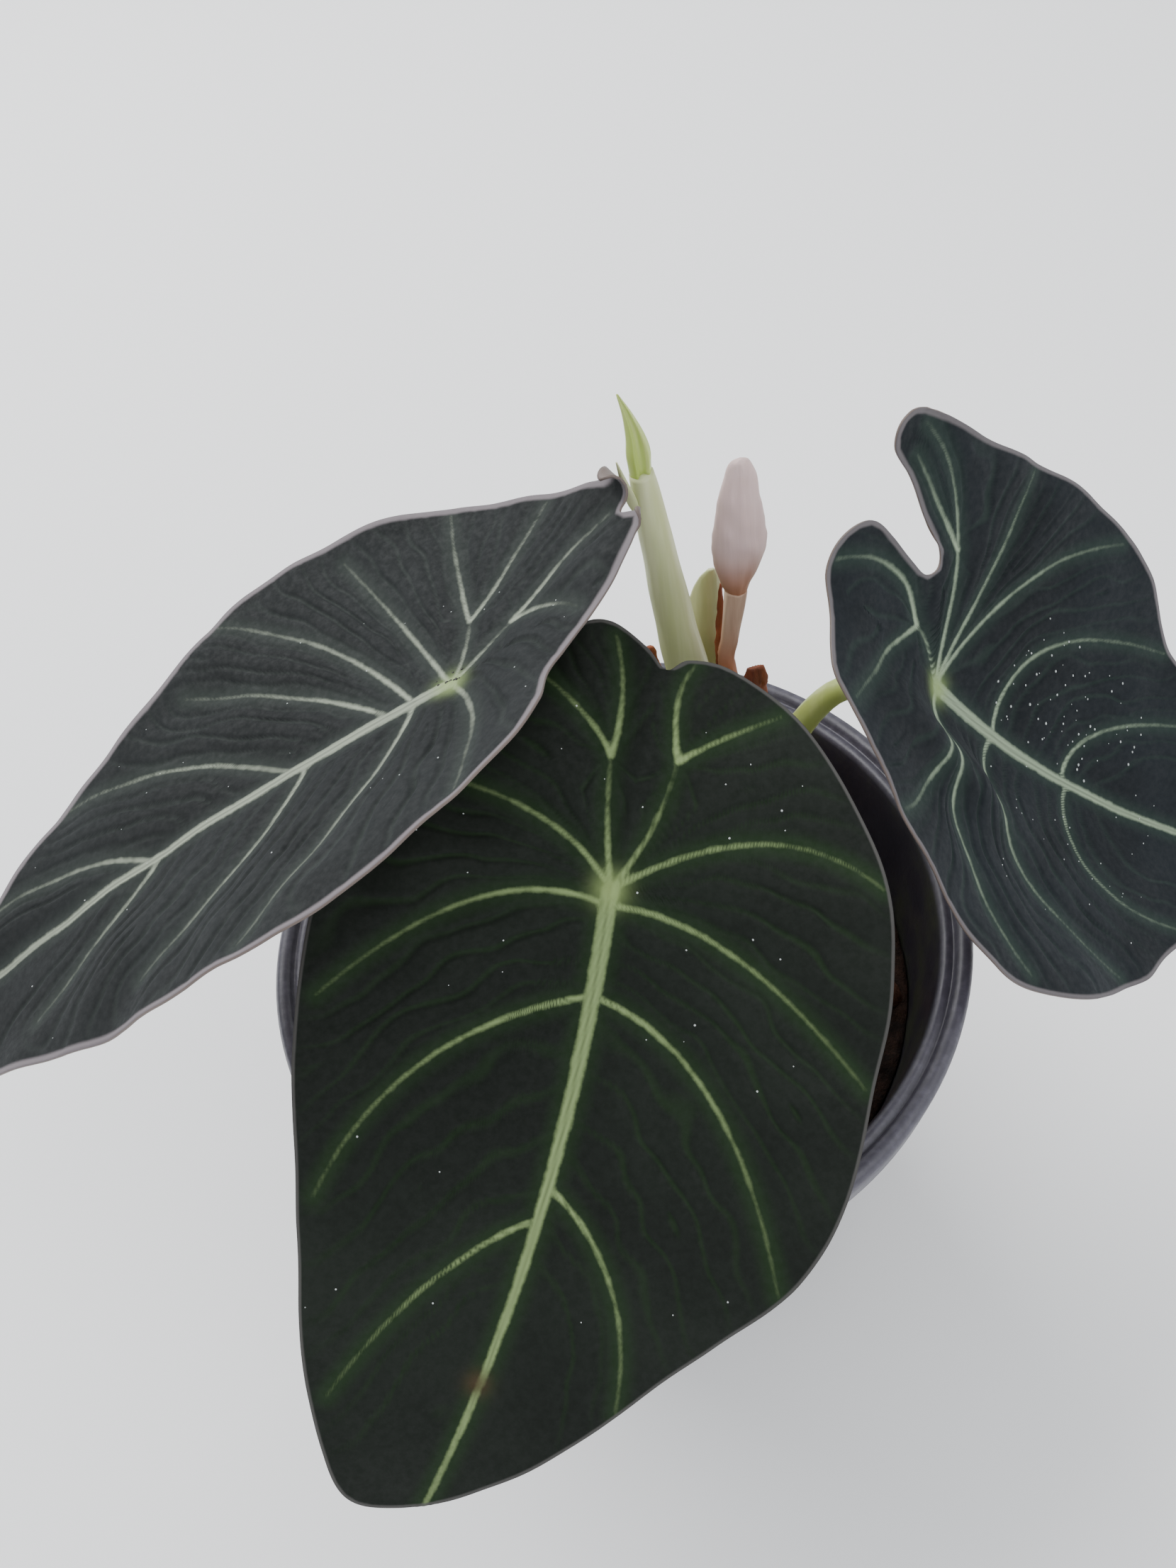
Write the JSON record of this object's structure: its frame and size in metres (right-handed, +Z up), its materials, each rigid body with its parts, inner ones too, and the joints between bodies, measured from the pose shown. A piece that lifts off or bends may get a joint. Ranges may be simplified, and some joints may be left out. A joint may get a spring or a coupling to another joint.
{
  "type": "potted alocasia house plant",
  "caption": "Small aroid house plant with large dark shield-shaped velvety leaves, a new shoot and a faded spathe, standing in a round tapered plastic nursery pot.",
  "frame": {"origin": "centre of the pot's flat underside, on the surface the plant stands on", "axes": "+Z up along the pot's axis; +X to the right and +Y away from the viewer, as the picture shows the plant"},
  "size_m": [0.233, 0.1309, 0.1693],
  "materials": {
    "pot_plastic": "satin",
    "potting_mix": "rough",
    "velvet_leaf": "velvet",
    "petiole_green": "satin",
    "sheath_cream": "satin",
    "new_leaf_green": "satin",
    "spathe_pink": "matt",
    "dry_brown": "matt"
  },
  "bodies": {
    "root": {"pot": "pot_plastic", "potting_mix": "potting_mix", "leaf_front_blade": "velvet_leaf", "leaf_front_petiole": "petiole_green", "leaf_left_blade": "velvet_leaf", "leaf_left_petiole": "petiole_green", "leaf_right_blade": "velvet_leaf", "leaf_right_petiole": "petiole_green", "shoot_sheath": "sheath_cream", "shoot_new_leaf": "new_leaf_green", "shoot_bract": "sheath_cream", "cataphyll": "sheath_cream", "spathe": "spathe_pink", "spathe_stalk": "spathe_pink", "dry_scale_right": "dry_brown", "dry_scale_left": "dry_brown"}
  },
  "joints": []
}
